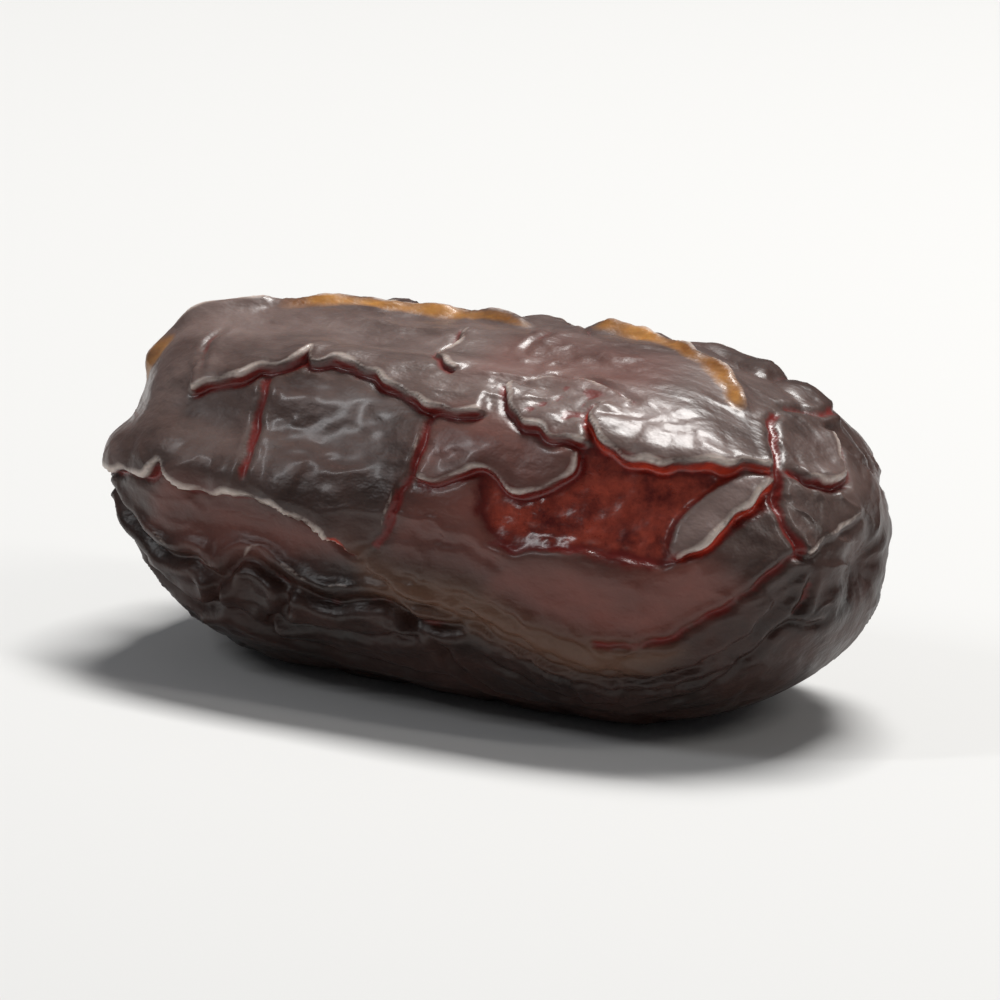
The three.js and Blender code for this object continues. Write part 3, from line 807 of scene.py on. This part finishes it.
def wisp_tree():
    """Tapered, bent wisps at random points of a disc, at random angles and lengths."""
    tree = bpy.data.node_groups.new("torn_fibres", "GeometryNodeTree")
    wisp_inputs = [
        ("Count", "Int", WISPS),
        ("Reach", "Float", WISP_REACH * MM),
        ("Length", "Float", WISP_LENGTH * MM),
        ("Thickness", "Float", WISP_RADIUS * MM),
        ("Seed", "Int", 3),
    ]
    for name, kind, start in wisp_inputs:
        socket = tree.interface.new_socket(name, in_out="INPUT", socket_type="NodeSocket" + kind)
        socket.default_value = start
    tree.interface.new_socket("Geometry", in_out="OUTPUT", socket_type="NodeSocketGeometry")
    given, result = tree.nodes.new("NodeGroupInput"), tree.nodes.new("NodeGroupOutput")

    def number(low, high, offset):
        node = tree.nodes.new("FunctionNodeRandomValue")
        node.inputs[2].default_value, node.inputs[3].default_value = low, high
        link(tree, sums(tree, "ADD", given.outputs["Seed"], offset), node.inputs["Seed"])
        return node.outputs[1]

    heading, away = number(0, 2 * math.pi, 1), sums(tree, "SQRT", number(0, 1, 2), 0.0)
    far = sums(tree, "MULTIPLY", away, given.outputs["Reach"])
    where = tree.nodes.new("ShaderNodeCombineXYZ")
    link(tree, sums(tree, "MULTIPLY", far, sums(tree, "COSINE", heading, 0.0)), where.inputs["X"])
    link(tree, sums(tree, "MULTIPLY", far, sums(tree, "SINE", heading, 0.0)), where.inputs["Y"])
    scatter = tree.nodes.new("GeometryNodePoints")
    link(tree, given.outputs["Count"], scatter.inputs["Count"])
    link(tree, where.outputs[0], scatter.inputs["Position"])

    stalk = tree.nodes.new("GeometryNodeCurveQuadraticBezier")
    stalk.inputs["Resolution"].default_value = 6
    tip = tree.nodes.new("ShaderNodeCombineXYZ")
    link(tree, given.outputs["Length"], tip.inputs["Z"])
    link(tree, sums(tree, "MULTIPLY", given.outputs["Length"], 0.35), tip.inputs["X"])
    half = tree.nodes.new("ShaderNodeCombineXYZ")
    link(tree, sums(tree, "MULTIPLY", given.outputs["Length"], 0.6), half.inputs["Z"])
    stalk.inputs["Start"].default_value = (0, 0, 0)
    link(tree, half.outputs[0], stalk.inputs["Middle"])
    link(tree, tip.outputs[0], stalk.inputs["End"])
    taper = tree.nodes.new("GeometryNodeSetCurveRadius")
    along = tree.nodes.new("GeometryNodeSplineParameter")
    link(tree, stalk.outputs["Curve"], taper.inputs["Curve"])
    thinner = sums(tree, "SUBTRACT", 1.0, sums(tree, "MULTIPLY", along.outputs["Factor"], 0.75))
    link(tree, thinner, taper.inputs["Radius"])
    ring = tree.nodes.new("GeometryNodeCurvePrimitiveCircle")
    ring.inputs["Resolution"].default_value = 6
    link(tree, given.outputs["Thickness"], ring.inputs["Radius"])
    tube = tree.nodes.new("GeometryNodeCurveToMesh")
    tube.inputs["Fill Caps"].default_value = True
    link(tree, taper.outputs["Curve"], tube.inputs["Curve"])
    link(tree, ring.outputs["Curve"], tube.inputs["Profile Curve"])

    place_all = tree.nodes.new("GeometryNodeInstanceOnPoints")
    link(tree, scatter.outputs[0], place_all.inputs["Points"])
    link(tree, tube.outputs["Mesh"], place_all.inputs["Instance"])
    lean = tree.nodes.new("ShaderNodeCombineXYZ")
    link(tree, number(-0.5, 0.5, 3), lean.inputs["X"])
    link(tree, number(-0.5, 0.5, 4), lean.inputs["Y"])
    link(tree, number(0, 6.28, 5), lean.inputs["Z"])
    link(tree, lean.outputs[0], place_all.inputs["Rotation"])
    size = tree.nodes.new("ShaderNodeCombineXYZ")
    for axis, low, high in (("X", 0.7, 1.5), ("Y", 0.7, 1.5), ("Z", 0.35, 1.0)):
        link(tree, number(low, high, 6), size.inputs[axis])
    link(tree, size.outputs[0], place_all.inputs["Scale"])
    solid = tree.nodes.new("GeometryNodeRealizeInstances")
    link(tree, place_all.outputs[0], solid.inputs[0])
    paint = tree.nodes.new("GeometryNodeSetMaterial")
    paint.inputs["Material"].default_value = calyx_wood
    link(tree, solid.outputs[0], paint.inputs["Geometry"])
    link(tree, paint.outputs[0], result.inputs["Geometry"])
    return tree


wisp_seed_mesh = bpy.data.meshes.new("wisp_start")
wisp_maker = bpy.data.objects.new("wisp_maker", wisp_seed_mesh)
bpy.context.collection.objects.link(wisp_maker)
maker = wisp_maker.modifiers.new("torn_fibres", "NODES")
maker.node_group = wisp_tree()
for socket in maker.node_group.interface.items_tree:
    if socket.in_out == "INPUT":
        maker[socket.identifier] = socket.default_value
grown = wisp_maker.evaluated_get(bpy.context.evaluated_depsgraph_get())
wisp_mesh = bpy.data.meshes.new_from_object(grown)
bpy.data.objects.remove(wisp_maker)
wisp_mesh.name = "strand_fibres"
outward = Vector((-1, 0, 0)).to_track_quat("Z", "Y").to_matrix().to_4x4()
stub_top = Vector(seat * MM) - Vector(((CAP_GAP + CAP_THICKNESS + STUB_HEIGHT - 0.25) * MM, 0, 0))
wisp_mesh.transform(outward)
for corner in wisp_mesh.vertices:
    corner.co += stub_top
wisp_mesh.shade_smooth()
wisps = bpy.data.objects.new("strand_fibres", wisp_mesh)
bpy.context.collection.objects.link(wisps)
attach(wisps, "root")
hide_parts("calyx")
